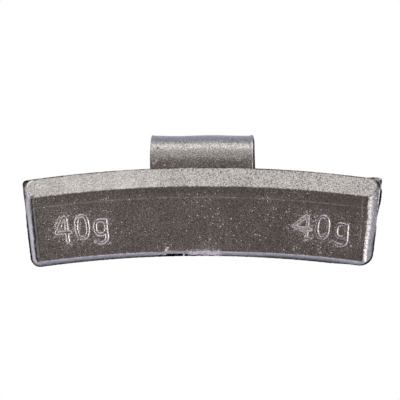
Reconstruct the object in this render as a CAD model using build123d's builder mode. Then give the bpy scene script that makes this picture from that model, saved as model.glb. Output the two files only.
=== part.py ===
from build123d import *
import math
import os

# Clip-on wheel balance weight: a lead casting, arched to follow the rim of the wheel,
# with a clip of spring steel cast into its top edge.
# Sizes are in millimetres. X runs along the rim, Y points into the wheel and Z away from the hub.
# The origin is the centre of the clip's hook, where the lip of the rim flange sits.

# Clip, bent from a strip of spring steel
strip_width = 17.0
strip_thickness = 1.0
shear_lean = 0.25  # how far each sheared side of the strip leans in towards the outer face
hook_radius = 5.2  # inside the hook
hook_rise = 5.55  # crown of the hook above the top edge of the casting
hook_sweep = 175.0  # degrees of bend between the leg and the tip
tip_length = 1.8
tip_corner = 1.2
leg_depth = 9.5  # lower end of the leg below the top edge of the casting
leg_corner = 1.5
anchor_diameter = 3.2  # holes in the leg that the lead runs through
anchor_spacing = 9.0
anchor_rise = 3.4  # centres of the holes above the lower end of the leg

# Front half of the casting, measured where the two halves of the die meet
top_radius = 203.0  # top edge, about the axis of the wheel
body_length = 57.85
body_height = 14.05
end_lean = 6.9  # degrees, how far the ends lean in towards the lower edge
body_corner = 1.5
face_depth = 3.2  # front face to the parting plane
bevel_height = 3.0
end_draft = 25.0  # degrees
foot_draft = 7.0  # degrees
face_rounding = 0.6

# Back half of the casting, which stands a little proud of the front half
top_ledge = 0.06
side_ledge = 0.18
ledge_corner = 0.5  # upper corners
clip_cover = 0.15  # lead between the parting plane and the clip's leg
seat_depth = 2.1  # parting plane to the flat seat on the back
seat_draft = 15.0  # degrees, at the ends
seat_rounding = 0.5
throat_clearance = 0.1  # between the casting and a round lip that fills the hook
foot_land = 0.7  # depth of the back half along its lower edge
relief_height = 6.2  # sloped relief below the seat

# Places that follow from the sizes
hook_outer = hook_radius + strip_thickness
hook_middle = hook_radius + strip_thickness / 2
top_z = hook_outer - hook_rise
leg_end_z = top_z - leg_depth
wheel_z = top_z - top_radius
foot_radius = top_radius - body_height
ledge_foot = foot_radius - side_ledge
parting_y = -hook_outer - clip_cover
face_y = parting_y - face_depth
seat_y = parting_y + seat_depth

wheel_axis = Axis((0, 0, wheel_z), (0, 1, 0))
parting_plane = Plane.XZ.offset(-parting_y)
leg_plane = Plane.XZ.offset(hook_outer)
leg_end_plane = Plane.XY.offset(leg_end_z)
# Sections are drawn on the far side of the wheel, with points (y, radius about the wheel's axis)
section_plane = Plane(origin=(0, 0, wheel_z), x_dir=(0, 1, 0), z_dir=(-1, 0, 0))


def arched_block(upper_radius, lower_radius, length, depth):
    """Block between two arcs about the wheel's axis, with straight ends that lean in towards the lower arc."""
    upper_angle = math.degrees(math.asin(length / 2 / upper_radius))
    end_distance = upper_radius * math.sin(math.radians(upper_angle - end_lean))
    lower_angle = end_lean + math.degrees(math.asin(end_distance / lower_radius))
    with BuildPart() as block:
        with BuildSketch(parting_plane):
            with BuildLine():
                upper = CenterArc((0, wheel_z), upper_radius, 90 - upper_angle, 2 * upper_angle)
                lower = CenterArc((0, wheel_z), lower_radius, 90 - lower_angle, 2 * lower_angle)
                Line(upper @ 0, lower @ 0)
                Line(upper @ 1, lower @ 1)
            make_face()
        extrude(amount=depth)
    return block.part


def corner_edges(block, far_y):
    """Edges of a drafted block that run between the parting plane and its far face."""
    low_y, high_y = sorted((parting_y, far_y))
    return block.edges().filter_by_position(Axis.Y, low_y, high_y, inclusive=(False, False))


# Clip: leg, hook and a straight tip that spreads a little, so that it can be driven over the flange
with BuildPart() as rim_clip:
    with BuildLine(Plane.YZ):
        leg = Line((-hook_middle, leg_end_z), (-hook_middle, 0))
        bend = CenterArc((0, 0), hook_middle, 180, -hook_sweep)
        tip = Line(bend @ 1, bend @ 1 + (bend % 1) * tip_length)
    with BuildSketch(leg_end_plane):
        with BuildLine():
            Polyline(
                (-strip_width / 2, -hook_radius),
                (strip_width / 2, -hook_radius),
                (strip_width / 2 - shear_lean, -hook_outer),
                (-strip_width / 2 + shear_lean, -hook_outer),
                close=True,
            )
        make_face()
    sweep()
    leg_end = rim_clip.faces().sort_by_distance(leg @ 0)[0]
    fillet(leg_end.edges().group_by(Axis.X)[0] + leg_end.edges().group_by(Axis.X)[-1], leg_corner)
    tip_end = rim_clip.faces().sort_by_distance(tip @ 1)[0]
    fillet(tip_end.edges().group_by(Axis.X)[0] + tip_end.edges().group_by(Axis.X)[-1], tip_corner)
    with BuildSketch(leg_plane):
        with Locations((0, leg_end_z + anchor_rise)):
            with GridLocations(anchor_spacing, anchor_spacing, 2, 1):
                Circle(anchor_diameter / 2)
    extrude(amount=-strip_thickness, mode=Mode.SUBTRACT)
rim_clip.part.label = "rim_clip"

# Front half of the casting: drafted and rounded, then bevelled along the top
with BuildPart() as front_half:
    add(arched_block(top_radius, foot_radius, body_length, face_depth))
    draft(front_half.faces().sort_by(Axis.X)[0], parting_plane, end_draft)
    draft(front_half.faces().sort_by(Axis.X)[-1], parting_plane, end_draft)
    draft(front_half.faces().filter_by(GeomType.CYLINDER), parting_plane, foot_draft)
    fillet(corner_edges(front_half, face_y), body_corner)
    fillet(front_half.faces().sort_by(Axis.Y)[0].edges(), face_rounding)
    with BuildSketch(section_plane):
        with BuildLine():
            Polyline(
                (parting_y, top_radius),
                (face_y, top_radius - bevel_height),
                (face_y - face_depth, top_radius - bevel_height),
                (face_y - face_depth, top_radius + bevel_height),
                (parting_y, top_radius + bevel_height),
                close=True,
            )
        make_face()
    revolve(axis=wheel_axis, mode=Mode.SUBTRACT)

# Back half of the casting: drafted ends, a flat seat, and shaped above and below it
with BuildPart() as back_half:
    add(arched_block(top_radius + top_ledge, ledge_foot, body_length + 2 * side_ledge, -seat_depth))
    draft(back_half.faces().sort_by(Axis.X)[0], parting_plane, -seat_draft)
    draft(back_half.faces().sort_by(Axis.X)[-1], parting_plane, -seat_draft)
    fillet(corner_edges(back_half, seat_y).group_by(Axis.Z)[0], body_corner + side_ledge)
    fillet(corner_edges(back_half, seat_y).group_by(Axis.Z)[-1], ledge_corner)

    # Throat that continues the round of the hook
    with BuildSketch(section_plane):
        with Locations((0, -wheel_z)):
            Circle(hook_radius + throat_clearance)
    revolve(axis=wheel_axis, mode=Mode.SUBTRACT)

    # Relief that slopes from the seat to the land along the lower edge, and on past it
    seat_foot = Vector(seat_y, foot_radius + relief_height)
    land_foot = Vector(parting_y + foot_land, ledge_foot)
    below_land = land_foot + (land_foot - seat_foot)
    with BuildSketch(section_plane):
        with BuildLine():
            Polyline(
                seat_foot,
                below_land,
                (seat_y + seat_depth, below_land.Y),
                (seat_y + seat_depth, seat_foot.Y),
                close=True,
            )
        make_face()
    revolve(axis=wheel_axis, mode=Mode.SUBTRACT)

    seat = back_half.faces().sort_by(Axis.Y)[-1]
    fillet(seat.edges().group_by(Axis.X)[0] + seat.edges().group_by(Axis.X)[-1], seat_rounding)

# The two halves are one casting, and the lead fills all round the clip
with BuildPart() as weight_body:
    add(front_half.part)
    add(back_half.part)
    add(rim_clip.part, mode=Mode.SUBTRACT)
weight_body.part.label = "weight_body"

os.makedirs("parts", exist_ok=True)
export_step(rim_clip.part, "parts/rim_clip.step")
export_step(weight_body.part, "parts/weight_body.step")
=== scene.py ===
import math
from functools import reduce
from types import SimpleNamespace

import bpy
import numpy as np
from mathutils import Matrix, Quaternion, Vector, noise


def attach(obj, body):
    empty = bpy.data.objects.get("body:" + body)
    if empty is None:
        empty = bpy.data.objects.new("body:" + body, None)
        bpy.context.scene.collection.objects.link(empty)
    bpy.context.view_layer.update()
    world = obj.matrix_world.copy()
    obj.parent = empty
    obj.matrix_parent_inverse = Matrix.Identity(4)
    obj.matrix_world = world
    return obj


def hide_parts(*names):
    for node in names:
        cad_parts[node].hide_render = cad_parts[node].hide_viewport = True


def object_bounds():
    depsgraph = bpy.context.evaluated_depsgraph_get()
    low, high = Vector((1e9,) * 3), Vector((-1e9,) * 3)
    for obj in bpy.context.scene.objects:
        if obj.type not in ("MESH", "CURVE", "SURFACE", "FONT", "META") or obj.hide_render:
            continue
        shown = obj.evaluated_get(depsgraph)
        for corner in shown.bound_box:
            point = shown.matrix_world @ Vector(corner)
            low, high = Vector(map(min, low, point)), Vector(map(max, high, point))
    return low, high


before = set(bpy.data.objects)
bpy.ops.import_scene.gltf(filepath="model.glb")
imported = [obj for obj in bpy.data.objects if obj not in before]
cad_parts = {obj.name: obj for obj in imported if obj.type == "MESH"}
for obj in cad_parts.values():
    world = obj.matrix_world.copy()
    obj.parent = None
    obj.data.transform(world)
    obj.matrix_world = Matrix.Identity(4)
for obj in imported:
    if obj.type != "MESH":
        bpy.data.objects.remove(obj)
cad_low, cad_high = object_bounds()

# Clip-on wheel balance weight: a lead casting with raised marks, and the spring clip that is cast into it.
# Each piece is one closed mesh. Its wear, painted shade and painted highlights are kept as values at its
# points, which its material reads:
# grime and painted shade, exposed metal and painted highlights, coarse grain, sparkle and pitting.
# Sizes are in millimetres, in the frame of the CAD model. A place on the casting is given by x and by r, the
# distance from the axis of the wheel, and its height h is measured from the parting plane to the front.
# A span is (from, to, blur). Patchiness is a base, then layers of noise as (strength, size, seed).
MM = 0.001
scene = bpy.context.scene

# Front half of the casting
WHEEL_Z = -202.35  # axis of the wheel, below the centre of the hook
PARTING_Y = -6.35  # where the two halves of the casting meet
FACE_DEPTH = 3.2  # to the tops of the marks
MARK_HEIGHT = 0.18
FACE = FACE_DEPTH - MARK_HEIGHT
TOP_RADIUS = 203.0
CREASE_RADIUS = 200.0  # lower edge of the bevel
FOOT_RADIUS = 188.95
BODY_LENGTH = 57.85
END_TILT = math.radians(6.9)
TOP_CORNER = 1.5
FOOT_CORNERS = (1.38, 2.2)  # left and right
END_FOOT = (1.52, 1.5)  # how far the rounded ends reach in, left and right, at the foot
END_CREASE = (1.82, 1.85)  # and at the crease
END_SLOPE = 0.47  # slope of the ends where they meet the face
FOOT_WALL = 0.67
FOOT_ROUNDING = 0.15
MITRE = 0.35  # reach of the wall at the right lower corner
CREASE_SOFTNESS = 0.05
NO_WALL = 9.0  # higher than the face

# Back half, whose outline stands proud of the front half
SIDE_LEDGE = 0.18
LEDGE_TOP = 203.06
LEDGE_FOOT = FOOT_RADIUS - SIDE_LEDGE
LEDGE_CORNERS = (0.75, 0.35)  # upper corners, left and right
SEAT = 2.1
SEAT_SLOPE = 1 / math.tan(math.radians(15))
LAND_SLOPE = 28.0
SEAT_ROUNDING = 0.5
LAND_ROUNDING = 0.12
LAND = 0.7
RELIEF_TOP = 195.15
THROAT = 5.3

MIDDLE_RADIUS = (LEDGE_TOP + LEDGE_FOOT) / 2
LEDGE_ANGLE = math.asin((BODY_LENGTH / 2 + SIDE_LEDGE) / LEDGE_TOP)
LEDGE_END = LEDGE_TOP * math.sin(LEDGE_ANGLE - END_TILT)
FRONT_ANGLE = math.asin(BODY_LENGTH / 2 / TOP_RADIUS)
FRONT_END = TOP_RADIUS * math.sin(FRONT_ANGLE - END_TILT)
HALF_SPAN = MIDDLE_RADIUS * LEDGE_ANGLE
RIM_HEIGHT = LEDGE_TOP - LEDGE_FOOT

# Grid lines of the casting, each a place and the number of steps to the next one: along the arch from its
# middle, and up from the rim of the foot. They are close at the ends, the marks, the gate and the edges.
GRID_ALONG = (
    (-HALF_SPAN, 4), (-HALF_SPAN + 0.24, 12), (-HALF_SPAN + 1.5, 8), (-HALF_SPAN + 2.4, 12),
    (-23.9, 130), (-14.5, 30), (-6.0, 44), (-2.6, 40), (3.2, 32), (14.6, 130), (23.9, 8),
    (HALF_SPAN - 3.4, 12), (HALF_SPAN - 2.4, 8), (HALF_SPAN - 1.5, 12), (HALF_SPAN - 0.24, 4), (HALF_SPAN, 0),
)
GRID_UP = (
    (0, 2), (0.025, 3), (0.18, 10), (0.75, 6), (1.1, 8), (1.6, 6), (2.45, 76), (7.95, 4), (9.24, 8), (9.72, 4),
    (11.0, 4), (11.4, 10), (12.9, 14), (14.23, 3), (RIM_HEIGHT, 0),
)

# Rim: ragged all round, with a fin of flash on the right upper corner, raised or standing proud in places
RAGGED_FOOT, RAGGED_TOP, RAGGED_ENDS = 0.04, 0.03, 0.05
FOOT_FADE, TOP_FADE, ENDS_FADE = 0.15, 0.1, 0.2  # how far in these are felt
FLASH_HEIGHT, FLASH_HALF = 0.16, 0.5
FOOT_LIFT, FOOT_LIFT_FADE = (0.16, (24.5, 30, 3)), 1.5
TOP_LIFT, TOP_LIFT_FADE = (0.06, (14, 30, 12)), 0.8
LEFT_PROUD, RIGHT_PROUD, RIGHT_HOLLOW = 0.11, 0.2, 0.1

# Front walls: where the ends and the foot are set in, and where the bevel is a little higher
LEFT_PULL = (0.2, (11.3, 20, 1.0))
RIGHT_PULLS = ((0.1, (9.0, 20, 0.6)), (0.1, (-1, 4.0, 1.5)))
FOOT_SHIFTS = ((0.1, (14, 30, 8)), (0.05, (-30, -14, 8)))
FLATTER_ARCH = (0.07, (14, 30, 12))

# Fillet between the ledge and the right end
FILLET_REACH, FILLET_START, FILLET_SLOPE, FILLET_HEIGHT = 0.1, 0.14, 0.85, 0.3

# Clip
STRIP_WIDTH = 17.0
STRIP_THICKNESS = 1.0
SHEAR_LEANS = (0.12, 0.36)  # left and right sides of the strip
HOOK_MIDDLE = 5.7
HOOK_SWEEP = 175
TIP_LENGTH = 1.8
TIP_CORNER = 1.2
LEG_END = -8.85
LEG_CORNER = 1.5
ROLLOVER = 0.08
BURR = 0.05


def spread(*stops):
    """Places of grid lines: each stop is a place and the number of steps to the next one."""
    runs = [np.linspace(a[0], b[0], a[1], endpoint=False) for a, b in zip(stops, stops[1:])]
    return np.concatenate(runs + [[stops[-1][0]]])


def window(value, low, high, blur):
    """1 between low and high, falling to 0 over blur outside them."""
    return np.clip(1 - np.maximum(low - value, value - high) / blur, 0, 1)


def above(value, low, blur):
    return np.clip(1 - (low - value) / blur, 0, 1)


def below(value, high, blur):
    return np.clip(1 - (value - high) / blur, 0, 1)


def plateaus(value, *rows):
    """Sum of plateaus, each a height and a span."""
    return sum(height * window(value, *span) for height, span in rows)


def spot(u, v, radius):
    return np.exp(-(u * u + v * v) / radius ** 2)


def spots(u, v, places):
    """The strongest of several spots, each a place and a radius."""
    return strongest([np.zeros_like(u)] + [spot(u - u0, v - v0, radius) for u0, v0, radius in places])


def ridge(distance, half_width):
    return np.exp(-(distance / half_width) ** 2)


def strongest(layers):
    return reduce(np.maximum, layers)


def waves(points, size, seed):
    """Smooth noise between -1 and 1, with waves of about that size."""
    flat = points.reshape(-1, 3) / size + seed
    return np.array([noise.noise(Vector(p)) for p in flat]).reshape(points.shape[:-1])


def noisy(points, *layers):
    """Sum of layers of noise, each a strength, a size and a seed."""
    return sum(strength * waves(points, size, seed) for strength, size, seed in layers)


def mottle(points, base, *layers, low=0, high=1):
    """Patchiness: a base with layers of noise, kept between low and high."""
    return np.clip(base + noisy(points, *layers), low, high)


def grid_normals(points):
    """Normals of a grid of points."""
    across = np.gradient(points, axis=1)
    up = np.gradient(points, axis=0)
    normal = np.cross(across, up)
    return normal / np.linalg.norm(normal, axis=-1, keepdims=True)


def round_corner(inset, rise, radius):
    """Bends the square corner of a grid into a round one."""
    p, q = 1 - inset / radius, 1 - rise / radius
    inside = (p > 0) & (q > 0)
    big, small = np.maximum(p, q), np.minimum(p, q)
    turn = math.pi / 4 * small / np.where(inside, big, 1)
    near, far = big * np.cos(turn), big * np.sin(turn)
    inset = np.where(inside, radius * (1 - np.where(p >= q, near, far)), inset)
    rise = np.where(inside, radius * (1 - np.where(p >= q, far, near)), rise)
    return inset, rise


def reach_in(inset, rise, corner):
    """How far in points lie from the ends and the edges, and in a corner how far they belong to the end."""
    u = np.clip(1 - inset / corner, 0, None)
    v = np.clip(1 - rise / corner, 0, None)
    out = np.hypot(u, v)
    both = (u > 0) & (v > 0)
    in_corner = corner * (1 - out)
    share = np.where(both, u * u / np.where(both, out * out, 1), -1)
    return np.where(both, in_corner, inset), np.where(both, in_corner, rise), share


def blend(end, edge, share):
    """Height of the end's wall or of the edge's wall, whichever is lower, turning smoothly round a corner."""
    return np.where(share < 0, np.minimum(end, edge), share * end + (1 - share) * edge)


def capped(height, slope, depth, radius):
    """Rounds the edge where a wall of that slope meets a face at that depth."""
    lean = np.arctan(1 / slope)
    reach = radius * np.tan((math.pi / 2 - lean) / 2)
    inside = (height - depth) / slope
    arc = depth - radius + np.sqrt(np.clip(radius ** 2 - (reach - inside) ** 2, 0, None))
    return np.where(inside >= reach, depth, np.where(inside <= -reach * np.sin(lean), height, arc))


def soft_min(a, b, k):
    """The lower of two heights, with the edge between them softened over k."""
    return np.minimum(a, b) - np.clip(k - np.abs(a - b), 0, None) ** 2 / (4 * k)


def bowed(inset, width):
    """Height and slope of an end that is steep at the outline and bows over to meet the face at that width."""
    left_over = np.clip(width - inset, 0, None)
    drop = FACE - END_SLOPE * width
    height = FACE - END_SLOPE * left_over - drop * (left_over / width) ** 3
    return height, END_SLOPE + 3 * drop / width * (left_over / width) ** 2


def cell_faces(face, number, i, j):
    """A cell of a numbered grid as one face, or at a corner as triangles that meet at its inner point."""
    if i not in (0, number.shape[0] - 2) or j not in (0, number.shape[1] - 2):
        return [face]
    hub = number[max(i, 1), max(j, 1)]
    start = face.index(hub)
    turned = face[start:] + face[:start]
    return [(hub, a, b) for a, b in zip(turned[1:], turned[2:])]


def casting_grid():
    """The casting's grid of places, whose edge is the rim where its two halves meet."""
    s, f = np.meshgrid(spread(*GRID_ALONG), spread(*GRID_UP))
    left = s < 0
    right = ~left
    inset, f = round_corner(HALF_SPAN - np.abs(s), f, np.where(left, *FOOT_CORNERS) + SIDE_LEDGE)
    inset, top = round_corner(inset, RIM_HEIGHT - f, np.where(left, *LEDGE_CORNERS))

    places = np.stack([s, f, np.zeros_like(s)], axis=-1)
    ragged = mottle(places, 0.5, (1.0, 0.55, 7.0), (0.6, 0.2, 3.0), high=1.5)
    flash = right * window(inset, 0, 1.2, 1.2) * ridge(top, FLASH_HALF) * FLASH_HEIGHT * (1 + ragged)
    lift = plateaus(s, FOOT_LIFT) * np.exp(-f / FOOT_LIFT_FADE)
    lift = lift + plateaus(s, TOP_LIFT) * np.exp(-top / TOP_LIFT_FADE)
    upper_right = RIGHT_PROUD * np.minimum(window(f, 11.0, 20, 1.8), window(f, 0, 12.7, 0.25))
    hollow = RIGHT_HOLLOW * window(f, 7.2, 8.4, 0.6)
    proud = LEFT_PROUD * left * window(f, 1.5, 7, 2) + right * (upper_right - hollow)
    uneven_foot = RAGGED_FOOT * ragged * np.exp(-f / FOOT_FADE)
    uneven_top = RAGGED_TOP * ragged * np.exp(-top / TOP_FADE)
    inset = inset + (RAGGED_ENDS * ragged - proud) * np.exp(-inset / ENDS_FADE)

    r = LEDGE_FOOT + (RIM_HEIGHT - top + uneven_foot - uneven_top + flash + lift)
    a = np.sign(s) * (END_TILT + np.arcsin(LEDGE_END / r)) * (1 - inset / HALF_SPAN)
    x, z = r * np.sin(a), WHEEL_Z + r * np.cos(a)
    return SimpleNamespace(left=left, right=right, inset=inset, top=top, r=r, a=a, x=x, z=z,
                           from_foot=r - FOOT_RADIUS, flat=np.stack([x, np.zeros_like(r), r], axis=-1),
                           grime_and_shade=[np.zeros_like(r)], bare_and_highlight=[np.zeros_like(r)])


def raise_front(g):
    """Heights of the front half: ends, foot and bevel, and what stands up from the ledge beside them."""
    g.in_foot = g.from_foot < TOP_RADIUS - g.r
    corner = np.where(g.in_foot, np.where(g.left, *FOOT_CORNERS), TOP_CORNER)
    g.rise_share = g.from_foot / (CREASE_RADIUS - FOOT_RADIUS)
    end_foot, end_crease = np.where(g.left, *END_FOOT), np.where(g.left, *END_CREASE)
    g.end_width = (end_foot + (end_crease - end_foot) * g.rise_share) * (1 + noisy(g.flat, (0.04, 0.7, 21.0)))
    pull = g.left * plateaus(g.from_foot, LEFT_PULL) + g.right * plateaus(g.from_foot, *RIGHT_PULLS)
    from_end = FRONT_END - g.r * np.sin(np.abs(g.a) - END_TILT) - pull
    from_edge = np.minimum(g.from_foot - plateaus(g.x, *FOOT_SHIFTS), TOP_RADIUS - g.r)
    end_in, edge_in, share = reach_in(from_end, from_edge, corner)

    # At the right lower corner the end and the foot meet in an edge
    g.mitred = g.right & g.in_foot & (share >= 0)
    corner_wall = np.where(g.mitred, end_in * FACE / MITRE, NO_WALL)
    share = np.where(g.mitred, -1, share)
    g.end_in, g.edge_in = np.where(g.mitred, from_end, end_in), np.where(g.mitred, from_edge, edge_in)
    g.left_over = g.end_width - g.end_in

    g.end_wall, g.end_slope = bowed(g.end_in, g.end_width)
    foot_slope = FACE / FOOT_WALL
    g.foot_wall = capped(g.edge_in * foot_slope, foot_slope, FACE, FOOT_ROUNDING)
    walls = np.minimum(blend(g.end_wall, g.foot_wall, share), corner_wall)
    g.crease = CREASE_RADIUS + plateaus(g.x, FLATTER_ARCH)
    bevel = FACE * (g.crease + TOP_RADIUS - CREASE_RADIUS - g.r) / (TOP_RADIUS - CREASE_RADIUS)
    g.bevel = bevel + noisy(g.flat, (0.03, 0.8, 11.0), (0.03, 0.4, 12.0)) * window(bevel, 0.3, FACE + 0.1, 0.3)
    g.bevel_side = (g.end_wall - g.bevel) / g.end_slope
    g.h = np.clip(soft_min(walls, g.bevel, CREASE_SOFTNESS), 0, None)

    g.in_front = np.minimum(g.end_in, g.edge_in)
    g.upper_corner = window(g.top, 0, 1.4, 0.6) * window(g.inset, 0, 1.0, 0.4)
    g.lump = g.upper_corner * window(g.in_front, -5, -0.08, 0.12)
    lumps = (0.4 + noisy(g.flat, (0.45, 0.32, 31.0))) * g.right
    g.h = np.maximum(g.h, g.lump * np.minimum(lumps, np.minimum(g.top, 2 * g.inset)))
    g.along_fillet = g.right * window(g.z, -5.9, -2.7, 0.3)
    fillet = np.clip(FILLET_SLOPE * (g.end_in + FILLET_START), 0, FILLET_HEIGHT)
    g.h = np.maximum(g.h, g.along_fillet * (g.end_in < FILLET_REACH) * fillet)


# Marks of mass: a plain number and its unit, as strokes about the middle of the group
def ring(u, v, half_width, half_height, squareness):
    turn = np.linspace(0, 2 * math.pi, 29)
    c, s = np.cos(turn), np.sin(turn)
    return np.stack([u + half_width * np.sign(c) * np.abs(c) ** squareness,
                     v + half_height * np.sign(s) * np.abs(s) ** squareness], axis=1)


def stroke_distance(u, v, strokes):
    """Distance from points to the nearest stroke of a group of marks."""
    nearest = np.full(u.shape, 1e3)
    for stroke in strokes:
        for (u0, v0), (u1, v1) in zip(stroke, stroke[1:]):
            du, dv = u1 - u0, v1 - v0
            t = np.clip(((u - u0) * du + (v - v0) * dv) / (du * du + dv * dv), 0, 1)
            nearest = np.minimum(nearest, np.hypot(u - u0 - t * du, v - v0 - t * dv))
    return nearest


MARK_RADIUS = 194.45
STROKE_HALF = 0.22
FLANK = 0.2
ZERO = ring(0, 0, 0.92, 1.78, 0.8)
# Both flanks of the left strokes have painted highlights. They are rubbed, dulled and smeared at spots (u, v,
# radius).
LEFT_MARKS = SimpleNamespace(
    angle=math.radians(-5.563), size=1.0,
    strokes=(
        ((-2.5, -2.05), (-2.52, 1.6), (-2.8, 1.88), (-4.2, -0.52), (-1.95, -0.62)),
        ZERO,
        ring(2.95, -0.31, 0.88, 1.13, 0.85),
        ((3.78, 0.78), (3.87, -1.95), (3.72, -2.42), (3.35, -2.7), (2.9, -2.78), (2.4, -2.72), (1.95, -2.5)),
    ),
    scuffs=(
        ((-3.5, 1.95), (-4.2, 0.85)), ((-3.3, 0.25), (-3.75, -0.55)), ((-0.24, 0.62), (-0.45, -0.36)),
        ((0.3, -1.9), (0.75, -1.65)), ((-0.05, -1.45), (0.2, -1.75)), ((-0.7, 1.45), (-0.35, 1.8)),
    ),
    rubs=((-0.48, 1.65, 0.4), (0.1, 1.55, 0.3), (2.0, -2.7, 0.4), (2.6, -2.85, 0.4), (3.4, -2.55, 0.3),
          (3.8, -0.3, 0.7)),
    dulls=((-0.7, -1.6, 0.5), (2.3, -2.8, 0.7), (0.0, -2.0, 0.5)),
    smears=((2.2, -2.7, 0.4), (2.8, -2.85, 0.4), (3.2, -2.75, 0.3), (-0.4, -1.75, 0.3), (0.1, -1.95, 0.3)),
    first_rubbed=0, one_sided=0, shine=1.0, first_duller=0.15, scatter=0.6,
)
# The right strokes have painted highlights on flanks facing right and up and painted shade on flanks facing
# left, apart from the first sign, which is rubbed
RIGHT_MARKS = SimpleNamespace(
    angle=math.radians(5.735), size=0.96,
    strokes=(
        ((-2.5, -1.62), (-2.52, 1.45), (-2.8, 1.62), (-4.75, -0.28), (-1.9, -0.62)),
        ZERO,
        ring(3.12, -0.27, 0.84, 1.1, 0.85),
        ((4.0, 0.72), (4.1, -1.85), (3.97, -2.3), (3.62, -2.58), (3.2, -2.66), (2.75, -2.6), (2.35, -2.42)),
    ),
    scuffs=(
        ((-3.1, 1.1), (-4.4, -0.1)), ((-4.5, -0.75), (-3.0, -0.95)), ((0.1, -1.35), (0.5, -1.1)),
        ((-2.96, -2.53), (-2.4, -2.32)), ((1.29, -2.37), (1.81, -1.95)),
    ),
    rubs=(), dulls=(), smears=(),
    first_rubbed=1, one_sided=1, shine=1.6, first_duller=0.6, scatter=0.35,
)
DIMPLE_DEPTH = 0.1
SLOPE_STEP = 0.02
UNLIT, UNLIT_RIGHT, UNLIT_UP = 0.65, 1.2, 0.55
DULLED, DULL_FLATNESS = 0.8, 0.5
RUB_SHINE, SMEAR_SHINE = 0.9, 0.4
FLANK_SHADE = 0.6
SCATTER_CLEAR, SCATTER_REACH = 0.3, 1.1
SCUFF_HALF, SCUFF_HEIGHT = 0.12, 0.11


def add_marks(g):
    """Raises the marks and the scuffs beside them, paints highlights on their flanks, and paints shade on
    flanks that face away from the light.
    """
    patchiness = mottle(g.flat, 0.75, (0.7, 0.6, 41.0), low=0.1)
    ragged = noisy(g.flat, (0.05, 0.32, 43.0))
    rubbing, dimples = mottle(g.flat, 0.55, (0.9, 0.3, 131.0)), mottle(g.flat, 0.5, (1.2, 0.24, 133.0))
    g.near_marks = np.zeros_like(g.r)
    for group in (LEFT_MARKS, RIGHT_MARKS):
        u, v = MARK_RADIUS * (g.a - group.angle) / group.size, (g.r - MARK_RADIUS) / group.size
        distance = stroke_distance(u, v, group.strokes) + ragged
        rise = np.clip((STROKE_HALF + FLANK / 2 - distance) / FLANK, 0, 1)
        first = window(u, -9, -1.4, 0.2)
        dulled = DULLED * spots(u, v, group.dulls)
        rubbed = rise * np.maximum(group.first_rubbed * first, spots(u, v, group.rubs))
        smeared = rise * spots(u, v, group.smears) * (0.5 + 0.5 * rubbing)
        scuff = ridge(stroke_distance(u, v, group.scuffs) + ragged, SCUFF_HALF) * patchiness
        g.h = g.h + MARK_HEIGHT * rise * (1 - DULL_FLATNESS * dulled)
        g.h = g.h - DIMPLE_DEPTH * rubbed * dimples
        g.h = g.h + SCUFF_HEIGHT * scuff * (1 - rise)

        to_right, to_left, to_top, to_bottom = (
            stroke_distance(u + du, v + dv, group.strokes)
            for du, dv in ((SLOPE_STEP, 0), (-SLOPE_STEP, 0), (0, SLOPE_STEP), (0, -SLOPE_STEP)))
        rightwards, upwards = (to_right - to_left) / (2 * SLOPE_STEP), (to_top - to_bottom) / (2 * SLOPE_STEP)
        flank = np.clip(4 * rise * (1 - rise), 0, 1)
        one_sided = window(u, -1.4, 9, 0.2) * group.one_sided
        unlit = np.clip(UNLIT - UNLIT_RIGHT * rightwards - UNLIT_UP * upwards, 0, 1)
        shine = np.clip((group.shine - group.first_duller * first) * patchiness, 0, 1)
        # Painted highlights on the flanks; rubbed and smeared tops and scuffs are wear
        g.bare_and_highlight += [flank * shine * (1 - one_sided * unlit) * (1 - dulled),
                   RUB_SHINE * rubbed * rubbing, SMEAR_SHINE * smeared, scuff]
        # Painted shade on the left-facing flanks of the right strokes
        g.grime_and_shade.append(FLANK_SHADE * flank * one_sided * np.clip(-rightwards, 0, 1))
        scatter = np.clip(window(u, -9, -1.4, 0.8) + group.scatter, 0, 1)
        near = ridge(np.clip(distance - SCATTER_CLEAR, 0, None), SCATTER_REACH)
        g.near_marks = np.maximum(g.near_marks, near * scatter)
    g.on_face = window(g.h, FACE - 0.02, FACE + MARK_HEIGHT, 0.05)


# Witness lines of the die, raised a little and painted bright as highlights: along the arch, and beside the
# right end
LINE_RADIUS, LINE_HALF, LINE_HEIGHT = 198.25, 0.09, 0.05
LINE_SHINE, SIDE_LINE_SHINE, SIDE_LINE_IN = 0.8, 0.8, 0.8
# Groove beside the left end, painted dark as shade, and the band of painted shade and the painted light edge
# outside it
GROOVE_IN, GROOVE_HALF, GROOVE_DEPTH, GROOVE_SHADE = 0.27, 0.08, 0.04, 0.85
SOFT_BAND, PAINTED_LIGHT_EDGE = 0.72, 0.2
# Specks, raised a little and painted bright as glints: scattered near the marks, and single ones (x, r, radius)
SPECK_CONTRAST, SPECK_RARITY, SPECK_CROWDING = 6, 0.36, 0.14
SPECK_HEIGHT, SINGLE_HEIGHT = 0.08, 0.13
SPECKS = (
    (-14.37, 191.56, 0.13), (17.56, 192.53, 0.14), (1.55, 191.6, 0.15), (-5.6, 190.49, 0.1),
    (18.71, 190.9, 0.12), (19.03, 190.42, 0.14), (14.84, 190.58, 0.13), (23.88, 191.98, 0.11),
)


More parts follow.
